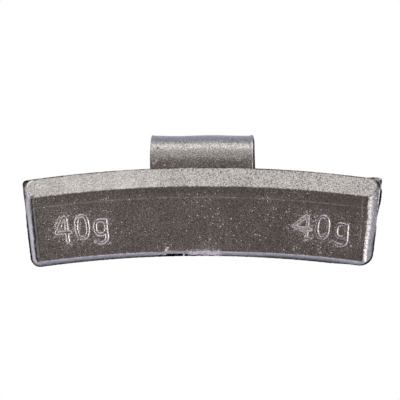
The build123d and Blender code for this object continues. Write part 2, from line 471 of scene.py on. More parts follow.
def add_lines(g):
    """Witness lines painted bright as highlights, the groove and the painted shade of the left end, its painted
    light edge, and specks painted bright as glints on the face.
    """
    line = ridge(g.r - LINE_RADIUS, LINE_HALF) * mottle(g.flat, 0.5, (0.5, 3.0, 5.0)) * g.on_face
    line = line * (LINE_SHINE + 0.2 * window(g.x, 21.5, 27, 3)) * mottle(g.flat, 0.8, (0.9, 0.5, 25.0), low=0.2)
    side_line = g.right * ridge(-g.left_over - SIDE_LINE_IN, LINE_HALF) * g.on_face
    side_line = side_line * mottle(g.flat, 0.5, (1.0, 2.0, 6.0))
    g.bare_and_highlight.append(line + SIDE_LINE_SHINE * side_line)

    # Painted shade in the groove beside the left end
    groove = g.left * ridge(-g.left_over - GROOVE_IN, GROOVE_HALF)
    groove = groove * above(g.bevel, FACE + 0.2, 0.2) * above(g.edge_in, 1.2, 0.4)
    g.grime_and_shade.append(GROOVE_SHADE * groove * mottle(g.flat, 0.7, (0.6, 1.2, 8.0)))
    # Painted shade: a dark band down the left end beside the face, softer and wider towards the top
    band = g.left * window(g.left_over, 0.2, 0.52, 0.1) * above(g.bevel, FACE + 0.1, 0.2)
    blur = 0.42 + 0.5 * above(g.from_foot, 8.6, 2.0)
    soft_band = SOFT_BAND * g.left * window(g.left_over, 0.1, 0.52, blur)
    soft_band = soft_band * above(g.left_over, 0.1, 0.1) * above(g.bevel, FACE - 0.2, 0.3)
    shade = np.maximum(band, soft_band) * above(g.edge_in, 0.9, 0.3)
    g.grime_and_shade.append(shade * mottle(g.flat, 1.0, (0.4, 0.8, 13.0)))
    # Painted highlight: a light edge on the face beside the left end
    painted_light_edge = PAINTED_LIGHT_EDGE * g.left * window(g.left_over, -0.16, 0.08, 0.08) * above(g.edge_in, 1.0, 0.3)
    g.bare_and_highlight.append(painted_light_edge * g.on_face)

    chance = noisy(g.flat, (1.0, 0.24, 51.0)) - SPECK_RARITY + SPECK_CROWDING * g.near_marks
    specks = np.clip(SPECK_CONTRAST * chance, 0, 1) * g.near_marks
    single = spots(g.x, g.r, SPECKS)
    g.bare_and_highlight.append(g.on_face * np.maximum(specks, single))
    g.h = g.h + LINE_HEIGHT * line + LINE_HEIGHT * side_line - GROOVE_DEPTH * groove
    g.h = g.h + g.on_face * np.maximum(SPECK_HEIGHT * specks, SINGLE_HEIGHT * single)


# How uneven the surface is: all over, at the gate's scar and on the ends
UNEVEN = ((0.02, 3.0, 0.0), (0.01, 0.9, 2.0), (0.006, 0.4, 4.0))
UNEVEN_GATE = ((0.11, 0.6, 9.0), (0.08, 0.25, 6.0))
UNEVEN_ENDS = (0.015, 0.04)  # left and right
# Hollows where the gate broke off, sunk and painted dark as shade: depth, span along x, rise above the foot at
# the right, slope and blur
HOLLOWS = (
    (1.0, (-5.4, -2.95, 0.15), 0.2, 0.0, 0.1),
    (0.9, (-7.6, -5.4, 0.5), 0.06, 0.03, 0.1),
    (1.0, (-2.55, -2.25, 0.1), 0.12, 0.0, 0.08),
    (0.7, (-1.9, -0.8, 0.15), 0.0, 0.0, 0.08),
)
HOLLOW_DEPTH, BURR_HEIGHT, CHIP_HEIGHT = 0.2, 0.19, 0.2
BURRS = ((-5.42, 189.9, 0.13), (-5.4, 190.08, 0.11), (-5.25, 190.24, 0.1), (-5.06, 190.3, 0.08),
         (2.93, 189.81, 0.16))
CHIP = (-2.78, FOOT_RADIUS + 0.02, 0.2)


def roughen(g):
    """Points of the front, moved along their normals by the unevenness, the gate's scar, burrs and a chip."""
    front = np.stack([g.x, PARTING_Y - g.h, g.z], axis=-1)
    g.gate = window(g.x, -7.0, 3.0, 0.8) * below(g.r, FOOT_RADIUS + 0.9, 0.3)
    g.hollows = strongest(
        depth * window(g.x, *span) * below(g.r, FOOT_RADIUS + rise + slope * (g.x - span[1]), blur)
        for depth, span, rise, slope, blur in HOLLOWS)
    g.burrs = sum(spot(g.x - x0, g.r - r0, radius) for x0, r0, radius in BURRS)
    g.chip = spots(g.x, g.r, (CHIP,))
    g.on_bevel = window(g.h - g.bevel, -0.1, 0.1, 0.1) * window(g.bevel, 0, FACE, 0.05)
    g.on_end = above(g.left_over, 0.05, 0.1) * (1 - g.on_bevel) * above(g.h, 0.1, 0.1)
    g.on_end = g.on_end * np.where(g.mitred, above(g.foot_wall - g.end_wall, 0.02, 0.1), 1)

    uneven = noisy(front, *UNEVEN) + g.gate * noisy(front, *UNEVEN_GATE) * (1 - g.hollows)
    uneven = uneven - HOLLOW_DEPTH * g.hollows + BURR_HEIGHT * g.burrs + CHIP_HEIGHT * g.chip
    end_waves = np.where(g.left, *UNEVEN_ENDS) * noisy(front, (1.0, 0.35, 17.0))
    uneven = uneven + g.on_end * (end_waves + g.right * noisy(front, (0.02, 0.2, 19.0)))
    uneven[0], uneven[-1], uneven[:, 0], uneven[:, -1] = 0, 0, 0, 0
    g.front = front + grid_normals(front) * uneven[..., None]


# Painted shade: on the ledge, at the upper corners, beside the bevel, in the gate's hollows, under the crease,
# at a dent and beside the right fillet. Darker in streaks towards the foot of the lower wall, in spots on the
# lumps, and in patches on the bevel, the face and the right end
LEDGE_HALF, LEDGE_SHADE = 0.12, 0.25
FOOT_LESS_SHADE = (-0.5, -0.3)
LESS_SHADE_RIGHT, LESS_SHADE_LEFT, LESS_SHADE_FOOT = 0.85, 0.6, 0.4
STREAK_BASE, STREAK_DEEPER, STREAK_MOST = 0.05, 0.32, 0.6
LEFT_CORNER, CORNER_SPOTS = 0.85, 0.7
CORNER_LINE, CORNER_LINE_OUT, CORNER_LINE_HALF = 0.7, 0.03, 0.07
BEVEL_LINE, BEVEL_LINE_HALF = 0.6, 0.07
UNDER_CREASE = 0.12
DARK_BEVEL, DARK_FACE = 0.03, 0.12
DENT_SHADE, DENT_X, DENT_R, DENT_STRETCH, DENT_RADIUS = 0.75, 26.75, 199.75, 0.8, 0.2
TEETH, RIGHT_END_DARKER = 0.6, 0.12


def add_shade_and_dark_spots(g):
    """Layers of painted shade and of darker streaks, spots and patches, of which the strongest counts."""
    left, right, x, z, r, top, inset = g.left, g.right, g.x, g.z, g.r, g.top, g.inset
    g.foot_side = g.in_foot * (1 - g.on_end) * (1 - g.gate)
    g.in_corner = np.minimum(top, inset)

    # Painted shade on the ledge where the halves meet: black in some spans, patchy along the top, lighter at
    # the foot and near some corners
    black = left * window(z, -14.6, -7.4, 1.2) + right * (
        window(z, -5.8, -2.3, 0.3) + window(z, -16, -10.5, 1.5) * window(inset, 0, 4.0, 2.0))
    at_foot = window(g.from_foot, -1, 0.2, 0.2) * np.where(left, *FOOT_LESS_SHADE)
    along_top = window(top, 0, 0.3, 0.2) * mottle(g.flat, 0.3, (1.4, 5.0, 15.0), low=-0.2, high=0.7)
    ledge_shade = np.clip(LEDGE_SHADE + black + at_foot + along_top + noisy(g.front, (0.8, 0.7, 1.0)), 0, 1)
    ledge_shade = ledge_shade * (1 - LESS_SHADE_RIGHT * right * window(top, 0, 1.2, 0.4) * window(inset, 0, 2.4, 1.0))
    ledge_shade = ledge_shade * (1 - LESS_SHADE_LEFT * left * window(z, -6.6, -2.6, 0.8))
    ledge_shade = ledge_shade * (1 - LESS_SHADE_FOOT * left * window(g.from_foot, -1, 0.8, 0.4))

    # Darker towards the foot of the lower wall, in streaks
    deeper = STREAK_DEEPER * np.clip(1 - g.edge_in / FOOT_WALL, 0, 1)
    streaks = np.clip(STREAK_BASE + deeper + noisy(g.flat * (0.12, 1, 1), (0.3, 0.2, 111.0)), 0, STREAK_MOST)

    left_corner = window(g.in_corner, 0, 0.24, 0.08) * window(top, 0, 0.45, 0.4)
    right_corner = window(z, -1.95, -1.45, 0.15) * window(inset, 0, 0.3, 0.1)
    corner_line = CORNER_LINE * ridge(g.in_front + CORNER_LINE_OUT, CORNER_LINE_HALF)
    under_crease = window(g.crease - r, 0, 0.8, 0.7) * (UNDER_CREASE + 0.14 * window(x, -8, 9, 6))
    teeth = TEETH * window(g.left_over, 0, 0.35, 0.25) * mottle(g.flat, 0, (2.0, 0.25, 95.0), (1.0, 0.6, 96.0))
    g.grime_and_shade += [
        # Painted shade on the ledge
        ridge(g.h, LEDGE_HALF) * ledge_shade,
        g.foot_side * window(g.edge_in, -1, FOOT_WALL - 0.08, 0.06) * streaks,
        # Painted shade in the upper corners and along the right corner's line
        LEFT_CORNER * left * g.upper_corner * left_corner,
        right * g.upper_corner * np.maximum(right_corner, corner_line),
        CORNER_SPOTS * right * g.lump * mottle(g.flat, -0.45, (3.0, 0.3, 61.0)),
        # Painted shade in a line at the bevel's right boundary
        BEVEL_LINE * right * ridge(g.bevel_side, BEVEL_LINE_HALF) * window(g.bevel, 0.2, 2.9, 0.15),
        # Painted shade in the gate's hollows
        g.hollows,
        # Painted shade under the crease, more in the middle
        g.on_face * under_crease,
        # Darker on the left of the bevel and on the right of the face
        DARK_BEVEL * g.on_bevel * window(x, -30, -17, 5) + DARK_FACE * g.on_face * window(x, 8, 28, 6),
        # Painted shade of a small dent, which is not shaped
        DENT_SHADE * spot(x - DENT_X, (r - DENT_R) / DENT_STRETCH, DENT_RADIUS),
        # Darker over the right end, more in ragged teeth
        right * g.on_end * np.maximum(teeth, RIGHT_END_DARKER),
        # Painted shade in a strip beside the right fillet
        g.along_fillet * window(g.end_in, -1, -0.12, 0.03) * mottle(g.front, 0.95, (0.3, 0.5, 123.0)),
    ]


# Bright exposed metal: the gate's scar, burrs, chip and chips along the crease, and a haze on the face. Painted
# highlights: glints on the right fillet, the bevel's left end and the lumps, the bright band of the right end,
# and the edge of the foot
SCAR_EDGE_RISE, SCAR_EDGE_HALF = 0.78, 0.16
BURR_SHINE, CHIP_SHINE = 1.3, 1.2
END_SHINE, END_SHINE_IN, END_SHINE_HALF = 0.6, 0.08, 0.15
CREASE_CHIP_HALF = 0.09
HAZE, HAZE_X, HAZE_R, HAZE_STRETCH, HAZE_RADIUS = 0.12, 1.5, 190.2, 2.2, 0.8
FOOT_EDGE_IN, FOOT_EDGE_HALF = FOOT_WALL - 0.07, 0.07


def add_shine(g):
    """Exposed metal and painted highlights; the fillet's painted glint also clears the painted shade where it
    lies.
    """
    scar = g.gate * window(g.x, -1.4, 3.0, 0.6) * mottle(g.front, 0.4, (0.9, 0.5, 8.0))
    scar_edge = window(g.x, 0.1, 3.2, 0.4) * ridge(g.from_foot - SCAR_EDGE_RISE, SCAR_EDGE_HALF)
    scar_edge = scar_edge * mottle(g.flat, 0.5, (1.3, 0.3, 81.0))
    fillet_glint = g.along_fillet * window(g.end_in, -0.09, 0.03, 0.04)
    fillet_glint = fillet_glint * mottle(g.front, 0.8, (0.5, 0.6, 121.0))
    end_glint = g.left * ridge(g.bevel_side - END_SHINE_IN, END_SHINE_HALF) * window(g.bevel, 0.2, 2.6, 0.3)

    low_end = window(g.from_foot, 0, 3.4, 3.0)
    cream_from = 0.05 + 0.1 * above(g.from_foot, 8.2, 1.5)
    cream_to = 0.5 - 0.1 * low_end
    cream_base = 0.8 - 0.3 * g.rise_share + 0.5 * low_end
    # Painted highlight: the cream band down the right end, where it turns towards the light
    cream = g.right * g.on_end * window(g.left_over, cream_from, cream_to, 0.25)
    cream = cream * mottle(g.flat, cream_base, (0.6, 0.25, 91.0), (0.4, 0.7, 92.0)) * (0.55 + 0.4 * low_end)

    lump_glint = g.right * g.lump * mottle(g.flat, 0, (3.0, 0.28, 97.0), high=0.6)
    lump_glint = lump_glint * above(g.in_corner, 0.2, 0.12)
    crease_chips = ridge(g.r - g.crease, CREASE_CHIP_HALF) * mottle(g.flat, -0.66, (3.0, 0.35, 101.0))
    haze = HAZE * g.on_face * spot((g.x - HAZE_X) / HAZE_STRETCH, g.r - HAZE_R, HAZE_RADIUS)
    # Painted highlight along the edge of the foot
    foot_edge = g.foot_side * ridge(g.edge_in - FOOT_EDGE_IN, FOOT_EDGE_HALF)
    foot_edge = foot_edge * mottle(g.flat, 0.3, (0.7, 0.9, 113.0), (0.8, 0.3, 115.0), low=0.05)
    for shine in (scar, scar_edge, BURR_SHINE * g.burrs, CHIP_SHINE * g.chip, fillet_glint,
                  END_SHINE * end_glint, cream, lump_glint, crease_chips, haze, foot_edge):
        g.bare_and_highlight.append(np.clip(shine, 0, 1))
    g.bare_and_highlight = strongest(g.bare_and_highlight)
    g.grime_and_shade = strongest(g.grime_and_shade) * (1 - fillet_glint)


# Grain: coarser on the bevel and the right end, smoother to the left and where the metal is exposed or a
# highlight is painted
GRAIN, GRAIN_BEVEL, GRAIN_RIGHT_END = 0.8, 0.7, 0.4
SMOOTH_BEVEL, SMOOTH_WHERE_BRIGHT, SMOOTH_LEFT_END = 1.2, 0.8, 0.4
# Sparkle of the face: patchy, more to the right, low down and near the marks, and calm in two places
SPARKLE_MARKS = 0.8
CALM_PLACES = (((20, 27, 3), (8.6, 12, 0.5)), ((22, 27, 2), (0, 1.6, 0.8)))  # spans along x and up
CALM_SPARKLE, CALM_GRAIN = 0.6, 0.5
PITS, PITS_TOP = 0.35, 0.65


def casting_grain(g):
    """Coarseness, sparkle and pitting of the front."""
    calm = strongest(window(g.x, *across) * window(g.from_foot, *up) for across, up in CALM_PLACES)
    coarse = GRAIN + g.on_bevel * (GRAIN_BEVEL - SMOOTH_BEVEL * window(g.x, -30, -9, 7))
    coarse = coarse + GRAIN_RIGHT_END * g.on_end * g.right
    coarse = coarse * (1 - SMOOTH_WHERE_BRIGHT * g.bare_and_highlight) * (1 - SMOOTH_LEFT_END * g.on_end * g.left)
    coarse = coarse * (1 - CALM_GRAIN * g.on_face * calm)
    patchy = mottle(g.flat, 0.82, (0.5, 3.5, 71.0), low=0.25)
    patchy = patchy + 0.1 * window(g.x, 2, 30, 8) + 0.1 * window(g.from_foot, 0, 6, 2)
    sparkle = g.on_face * (patchy * (1 - CALM_SPARKLE * calm) + SPARKLE_MARKS * g.near_marks)
    pitting = g.on_bevel * (PITS + PITS_TOP * window(g.top, 0, 0.9, 0.5))
    return coarse, sparkle, pitting


def casting_back(g):
    """Points of the back, on every second line of the grid."""
    r, a, left = g.r[::2, ::2], g.a[::2, ::2], g.left[::2, ::2]
    foot_in, top_in = r - LEDGE_FOOT, np.clip(LEDGE_TOP - r, 0, None)
    foot_corner, top_corner = np.where(left, *FOOT_CORNERS) + SIDE_LEDGE, np.where(left, *LEDGE_CORNERS)
    corner = np.where(foot_in < top_in, foot_corner, top_corner)
    from_end = LEDGE_END - r * np.sin(np.abs(a) - END_TILT)
    end_in, edge_in, share = reach_in(from_end, np.minimum(foot_in, top_in), corner)
    relief = LAND + (SEAT - LAND) * foot_in / (RELIEF_TOP - LEDGE_FOOT)
    in_throat = np.clip(THROAT ** 2 - (r + WHEEL_Z) ** 2, 0, None)
    limit = np.minimum(np.minimum(SEAT, relief), -PARTING_Y - np.sqrt(in_throat))
    end_wall = capped(end_in * SEAT_SLOPE, SEAT_SLOPE, limit, SEAT_ROUNDING)
    edge_wall = capped(edge_in * LAND_SLOPE, LAND_SLOPE, limit, LAND_ROUNDING)
    b = np.clip(blend(end_wall, edge_wall, share), 0, None)
    back = np.stack([g.x[::2, ::2], PARTING_Y + b, g.z[::2, ::2]], axis=-1)
    return back - grid_normals(back) * np.abs(noisy(back, *UNEVEN[:2]))[..., None]


def casting_faces(rows, columns):
    """Faces of the front and back, and which points of the back's grid are its own, inside the shared rim."""
    number = np.arange(rows * columns).reshape(rows, columns)
    faces = []
    for i in range(rows - 1):
        for j in range(columns - 1):
            face = [number[i, j], number[i, j + 1], number[i + 1, j + 1], number[i + 1, j]]
            faces.extend(cell_faces(face, number, i, j))

    # The back's rim is the front's rim, whose lines are twice as close
    number2 = number[::2, ::2].copy()
    inner = np.zeros(number2.shape, bool)
    inner[1:-1, 1:-1] = True
    number2[inner] = rows * columns + np.arange(inner.sum())
    last_row, last_column = number2.shape[0] - 2, number2.shape[1] - 2
    for i in range(last_row + 1):
        for j in range(last_column + 1):
            face = [number2[i, j]]
            if j == 0:
                face.append(number[2 * i + 1, 0])
            face.append(number2[i + 1, j])
            if i == last_row:
                face.append(number[rows - 1, 2 * j + 1])
            face.append(number2[i + 1, j + 1])
            if j == last_column:
                face.append(number[2 * i + 1, columns - 1])
            face.append(number2[i, j + 1])
            if i == 0:
                face.append(number[0, 2 * j + 1])
            faces.extend(cell_faces(face, number2, i, j))
    return faces, inner


def build_casting():
    g = casting_grid()
    for step in (raise_front, add_marks, add_lines, roughen, add_shade_and_dark_spots, add_shine):
        step(g)
    coarse, sparkle, pitting = casting_grain(g)
    faces, inner = casting_faces(*g.r.shape)
    points = np.concatenate([g.front.reshape(-1, 3), casting_back(g)[inner]])
    # The back has no wear, painted shade or painted highlights, and an even grain
    marks = {"grime_and_shade": g.grime_and_shade, "bare_and_highlight": g.bare_and_highlight, "coarse": coarse, "sparkle": sparkle, "pitting": pitting}
    return points, faces, {
        key: np.append(values, np.full(inner.sum(), float(key == "coarse"))) for key, values in marks.items()}


def rounded_section():
    """Cross-section of the strip as (across, out) points, with rolled edges on the outer face."""
    half, thick = STRIP_WIDTH / 2, STRIP_THICKNESS / 2
    corners = [(-half, -thick), (half, -thick), (half - SHEAR_LEANS[1], thick), (-half + SHEAR_LEANS[0], thick)]
    corners = [np.array(corner) for corner in corners]
    arcs = []
    for k, radius in enumerate((BURR, BURR, ROLLOVER, ROLLOVER)):
        back, ahead = corners[k - 1] - corners[k], corners[(k + 1) % 4] - corners[k]
        back, ahead = back / np.linalg.norm(back), ahead / np.linalg.norm(ahead)
        lean = math.acos(back @ ahead) / 2
        middle = (back + ahead) / np.linalg.norm(back + ahead)
        centre = corners[k] + middle * radius / math.sin(lean)
        swing = np.linspace(lean - math.pi / 2, math.pi / 2 - lean, 6)
        across = np.array([-middle[1], middle[0]])
        if across @ ahead < 0:
            across = -across
        arcs.append(centre - radius * (np.cos(swing)[:, None] * middle - np.sin(swing)[:, None] * across))
    points = []
    for k, steps in enumerate((40, 6, 120, 6)):
        points.append(arcs[k])
        points.append(np.linspace(arcs[k][-1], arcs[(k + 1) % 4][0], steps + 1)[1:-1])
    return np.concatenate(points)


# How the strip departs from its plain sweep: below a height it is shifted and its right side leans
BEND_STEPS = 136
LOW_BELOW, FRONT_FADE = 4.5, 3
STRIP_SHIFT, STRIP_SHIFT_LOW = 0.06, 0.13
SIDE_SHIFT, SIDE_SHIFT_LOW = 0.08, 0.02
SIDE_LEAN, SIDE_LEAN_LOW = 0.14, -0.2
# The crown is a little wavy, and the edges are rolled up
CROWN_WAVE, CROWN_MIDDLE, CROWN_LENGTH, CROWN_SINK = 0.06, 1.4, 11.5, 0.05
EDGE_ROLLS, EDGE_ROLL_HALF = (0.06, 0.14), 0.3  # left and right
# Two pits on the outer face (x, z, radius), a nick, and a painted highlight along the outer edge beside the
# sheared right side
PITS_ON_CLIP = ((-7.14, 3.87, 0.14), (5.92, 5.02, 0.12))
NICK, NICK_HALF, NICK_HEIGHT = (((-7.85, 1.55), (-7.6, 1.2), (-7.2, 1.8)),), 0.09, 0.07
EDGE_HIGHLIGHT_WIDTH, EDGE_HIGHLIGHT_BLUR = 0.1, 0.07
SHEARED = 0.01
CLIP_SPARKLE, CLIP_SPARKLE_LOW = 0.35, 0.4


def clip_path():
    """Middle line of the strip in the YZ plane, with the direction out of it: leg, bend and tip."""
    leg = spread((LEG_END, 12), (LEG_END + LEG_CORNER, 14), (0, 0))
    bend = np.radians(np.linspace(180, 180 - HOOK_SWEEP, BEND_STEPS))
    tip = spread((0, 4), (TIP_LENGTH - TIP_CORNER, 14), (TIP_LENGTH, 0))[1:]
    cos, sin = math.cos(bend[-1]), math.sin(bend[-1])
    path = [(-HOOK_MIDDLE, z, -1.0, 0.0) for z in leg[:-1]]
    path += [(HOOK_MIDDLE * math.cos(t), HOOK_MIDDLE * math.sin(t), math.cos(t), math.sin(t)) for t in bend]
    path += [(HOOK_MIDDLE * cos + d * sin, HOOK_MIDDLE * sin - d * cos, cos, sin) for d in tip]
    return np.array(path)


def build_clip():
    section = rounded_section()
    path = clip_path()
    run = np.concatenate([[0], np.cumsum(np.hypot(*np.diff(path[:, :2], axis=0).T))])
    narrow = np.zeros(len(run))
    for corner, place in ((LEG_CORNER, run), (TIP_CORNER, run[-1] - run)):
        near = np.clip(corner - place, 0, None)
        narrow = narrow + corner - np.sqrt(corner ** 2 - near ** 2)
    across, thick = section[None, :, 0], section[None, :, 1]
    path_y, path_z, out_y, out_z = (path[:, k, None] for k in range(4))
    left_edge, right_edge = SHEAR_LEANS[0] - STRIP_WIDTH / 2, STRIP_WIDTH / 2 - SHEAR_LEANS[1]

    x = across * (1 - narrow / (STRIP_WIDTH / 2))[:, None]
    low = 1 - np.clip(path_z / LOW_BELOW, 0, 1)
    through = thick / STRIP_THICKNESS + 0.5
    lean = SIDE_SHIFT + SIDE_SHIFT_LOW * low + through * (SIDE_LEAN + SIDE_LEAN_LOW * low)
    lean = np.clip(x / (STRIP_WIDTH / 2), 0, 1) * lean
    x = x + lean + (STRIP_SHIFT + STRIP_SHIFT_LOW * low) * np.clip(-path_y / FRONT_FADE, 0, 1)
    y = path_y + thick * out_y
    z = path_z + thick * out_z
    points = np.stack([x, y, z], axis=-1)

    outer = window(thick, 0.2, 1.0, 0.3)
    front = outer * (y < 0)
    pits = sum(spot(x - x0, z - z0, radius) for x0, z0, radius in PITS_ON_CLIP)
    nick = ridge(stroke_distance(x, z, NICK), NICK_HALF)
    uneven = CROWN_WAVE * np.cos(2 * math.pi * (x - CROWN_MIDDLE) / CROWN_LENGTH)
    uneven = uneven + noisy(points, (0.012, 1.5, 1.0)) - CROWN_SINK
    for edge, roll in zip((left_edge, right_edge), EDGE_ROLLS):
        uneven = uneven + roll * ridge(x - edge, EDGE_ROLL_HALF)
    uneven = uneven + NICK_HEIGHT * front * (nick - pits)
    out = np.stack([np.zeros_like(out_y), out_y, out_z], axis=-1)
    points = points + out * (uneven * outer)[..., None]

    # Painted highlight along the right edge of the outer face
    edge_highlight = outer * window(across, right_edge - EDGE_HIGHLIGHT_WIDTH, right_edge, EDGE_HIGHLIGHT_BLUR)
    edge_highlight = edge_highlight * window(z, -9, 4.4, 0.6) * mottle(points, 0.75, (0.6, 1.2, 5.0))
    # The sheared sides are darker
    side = (across > right_edge - SHEARED) | (across < left_edge + SHEARED)
    side = np.broadcast_to(side, x.shape).astype(float)
    grime_and_shade = np.maximum(side * mottle(points, 0.95, (0.25, 0.5, 7.0)), front * pits)
    bare_and_highlight = np.maximum(front * nick, edge_highlight * (1 - side))
    sparkle = front * (CLIP_SPARKLE + CLIP_SPARKLE_LOW * window(z, -9, 2.0, 1.5))

    rows, columns = points.shape[:2]
    number = np.arange(rows * columns).reshape(rows, columns)
    faces = []
    for j in range(columns):
        ahead = (j + 1) % columns
        faces.extend((number[i, j], number[i + 1, j], number[i + 1, ahead], number[i, ahead])
                     for i in range(rows - 1))
        faces.append((number.size, number[0, j], number[0, ahead]))
        faces.append((number.size + 1, number[-1, ahead], number[-1, j]))

    def with_ends(values):
        """Values at the grid's points, then at the middles of the two ends."""
        return np.concatenate([values.reshape(number.size, -1), values[[0, -1]].mean(axis=1).reshape(2, -1)])

    marks = {"grime_and_shade": grime_and_shade, "bare_and_highlight": bare_and_highlight, "coarse": np.full_like(x, 0.75), "sparkle": sparkle,
             "pitting": np.full_like(x, 0.35)}
    return with_ends(points), faces, {key: with_ends(values) for key, values in marks.items()}


def new_object(name, data):
    thing = bpy.data.objects.new(name, data)
    scene.collection.objects.link(thing)
    return thing


def mesh_piece(name, points, faces, marks):
    """Piece from points in millimetres, kept inside the CAD model's box, with values at its points."""
    points = np.clip(points, np.array(cad_low) / MM, np.array(cad_high) / MM)
    mesh = bpy.data.meshes.new(name)
    mesh.from_pydata((points * MM).tolist(), [], [tuple(int(n) for n in face) for face in faces])
    for key, values in marks.items():
        attribute = mesh.attributes.new(key, "FLOAT", "POINT")
        attribute.data.foreach_set("value", values.reshape(-1).astype(np.float32))
    mesh.validate()
    mesh.shade_smooth()
    return new_object(name, mesh)


def new_material(name):
    material = bpy.data.materials.new(name)
    material.use_nodes = True
    material.node_tree.nodes.clear()
    return material, material.node_tree


def add(tree, kind, links=None, sockets=None, **settings):
    """New node, with other nodes' outputs linked to its sockets and values set on them."""
    node = tree.nodes.new(kind)
    for key, value in settings.items():
        setattr(node, key, value)
    for key, value in (sockets or {}).items():
        node.inputs[key].default_value = value
    for key, source in (links or {}).items():
        tree.links.new(source, node.inputs[key])
    return node


def calculate(tree, operation, *values, clamp=False):
    """Output of a sum of that kind, on numbers and other nodes' outputs."""
    numbers = {k: value for k, value in enumerate(values) if isinstance(value, float)}
    links = {k: value for k, value in enumerate(values) if k not in numbers}
    return add(tree, "ShaderNodeMath", links, numbers, operation=operation, use_clamp=clamp).outputs[0]


def remapped(tree, value, **limits):
    sockets = {key.replace("_", " ").title(): limit for key, limit in limits.items()}
    return add(tree, "ShaderNodeMapRange", {"Value": value}, sockets).outputs[0]


def grey(level):
    return (level,) * 3


def ramp(tree, source, places, levels):
    """Colour ramp with a grey level or a colour at each place."""
    node = add(tree, "ShaderNodeValToRGB", {"Fac": source})
    elements = node.color_ramp.elements
    while len(elements) < len(places):
        elements.new(1.0)
    for element, place, level in zip(elements, places, levels):
        element.position = place
        element.color = (*(grey(level) if isinstance(level, float) else level), 1)
    return node.outputs["Color"]


def mixed(tree, factor, first, second):
    """Mix of two colours, each a colour or another node's output."""
    node = add(tree, "ShaderNodeMix", {"Factor": factor}, data_type="RGBA")
    for socket, source in ((node.inputs[6], first), (node.inputs[7], second)):
        if isinstance(source, tuple):
            socket.default_value = (*source, 1)
        else:
            tree.links.new(source, socket)
    return node.outputs[2]


# Coating
# Colours of pores, of painted glints, and of exposed metal and painted highlights
PORE_COLOUR, GLINT_COLOUR, BARE_AND_HIGHLIGHT_COLOUR = (0.16, 0.155, 0.15), (0.86, 0.84, 0.82), (0.90, 0.85, 0.89)
PORE_DEPTH, BRIGHT_CHANCE, BRIGHT_HEIGHT = 0.9, 0.26, 0.065
BARE_AND_HIGHLIGHT_GLOSS, GRAIN_STRENGTH_MOST = 0.22, 0.8


